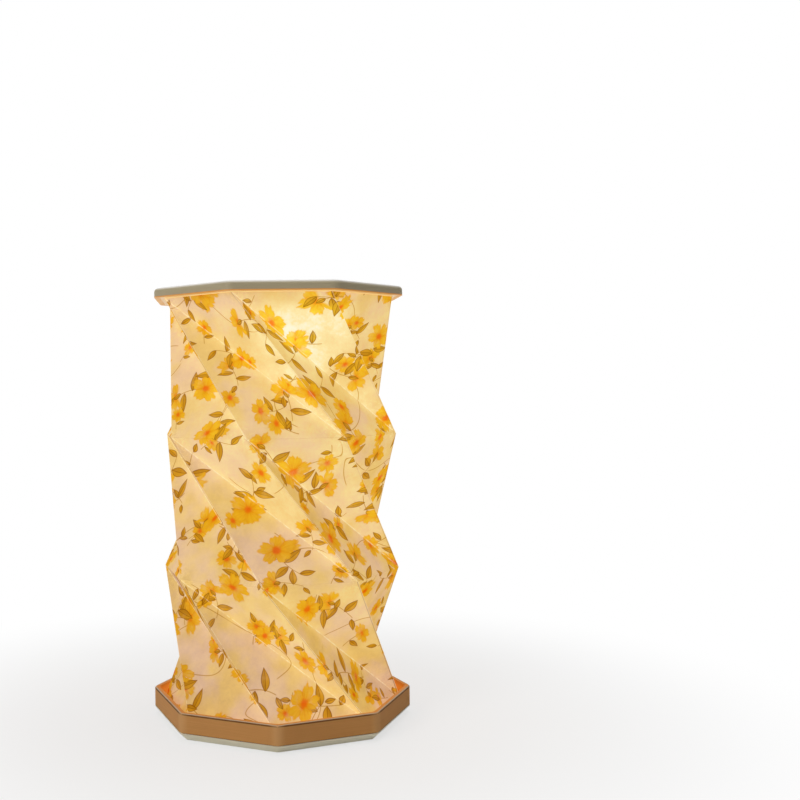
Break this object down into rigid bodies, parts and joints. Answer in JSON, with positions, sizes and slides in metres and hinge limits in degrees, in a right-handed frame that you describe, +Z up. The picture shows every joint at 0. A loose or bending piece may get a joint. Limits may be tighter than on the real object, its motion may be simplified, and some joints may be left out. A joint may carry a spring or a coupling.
{
  "type": "folding night lamp",
  "caption": "Octagonal lantern lamp: a twist-folded printed paper shade stands between a slim lid with a push button and LED and a shallow tray, and folds flat into the tray.",
  "frame": {"origin": "centre of the underside of the base pad, on the lamp's axis", "axes": "+Z up along the lamp's axis, -Y the front, where a corner of the tray points"},
  "size_m": [0.1344, 0.1344, 0.2224],
  "materials": {
    "case_shell": "satin warm white",
    "inner_moulding": "matt warm white",
    "brown_rim": "satin brown",
    "printed_paper": "matt printed paper",
    "soft_silicone": "matt silicone",
    "plain_steel": "plain steel",
    "magnet_nickel": "nickel plate",
    "dark_bronze": "dark bronze, spun on the button",
    "circuit_board": "green solder mask",
    "contact_gold": "gold plate",
    "led_yellow": "warm white phosphor",
    "opal_diffuser": "opal",
    "black_plastic": "matt black",
    "white_plastic": "matt white",
    "cell_foil": "silver pouch foil",
    "lead_insulation": "red insulation"
  },
  "bodies": {
    "base": {"base_pad": "soft_silicone", "base_plate": "case_shell", "tray_rim": "brown_rim", "tray_floor": "inner_moulding", "ballast_plate": "plain_steel", "rim_magnets": "magnet_nickel", "lower_hem": "printed_paper", "lower_clamp_frame": "inner_moulding", "base_screws": "plain_steel"},
    "shade_lower": {"shade_lower_tier": "printed_paper"},
    "shade_middle": {"shade_middle_tier": "printed_paper"},
    "shade_upper": {"shade_upper_tier": "printed_paper"},
    "lid": {"lid_shell": "case_shell", "lid_bottom_panel": "inner_moulding", "upper_hem": "printed_paper", "upper_clamp_frame": "inner_moulding", "lid_magnets": "magnet_nickel", "led_housing": "inner_moulding", "control_board": "circuit_board", "led_board": "circuit_board", "board_pins": "contact_gold", "led_chips": "led_yellow", "led_diffuser": "opal_diffuser", "tact_switch": "black_plastic", "battery_cell": "cell_foil", "battery_leads": "lead_insulation", "usb_socket": "plain_steel", "usb_tongue": "black_plastic", "charge_board": "circuit_board", "charge_leads": "lead_insulation", "lead_sockets": "white_plastic", "nameplate": "dark_bronze", "nameplate_pins": "dark_bronze"},
    "button": {"power_button": "dark_bronze", "switch_plunger": "black_plastic"}
  },
  "joints": [
    {"name": "lower_tier_twist", "type": "hinge", "parent": "base", "child": "shade_lower", "pos_m": [0, 0, 0], "axis": [0, 0, 1], "range_deg": [-39.05, 0]},
    {"name": "middle_tier_twist", "type": "hinge", "parent": "shade_lower", "child": "shade_middle", "pos_m": [0, 0, 0], "axis": [0, 0, 1], "range_deg": [-39.05, 0]},
    {"name": "upper_tier_twist", "type": "hinge", "parent": "shade_middle", "child": "shade_upper", "pos_m": [0, 0, 0], "axis": [0, 0, 1], "range_deg": [-39.05, 0]},
    {"name": "lid_drop", "type": "slide", "parent": "shade_upper", "child": "lid", "axis": [0, 0, 1], "range_m": [-0.2027, 0], "deforming": ["shade_lower_tier", "shade_middle_tier", "shade_upper_tier"]},
    {"name": "button_press", "type": "slide", "parent": "lid", "child": "button", "axis": [0, 0, 1], "range_m": [-0.0005, 0], "stiffness_N_per_m": 4000}
  ],
  "couplings": [
    {"joint": "lower_tier_twist", "follows": "lid_drop", "rad_per_m": 3.3581},
    {"joint": "middle_tier_twist", "follows": "lid_drop", "rad_per_m": 3.3581},
    {"joint": "upper_tier_twist", "follows": "lid_drop", "rad_per_m": 3.3581}
  ]
}
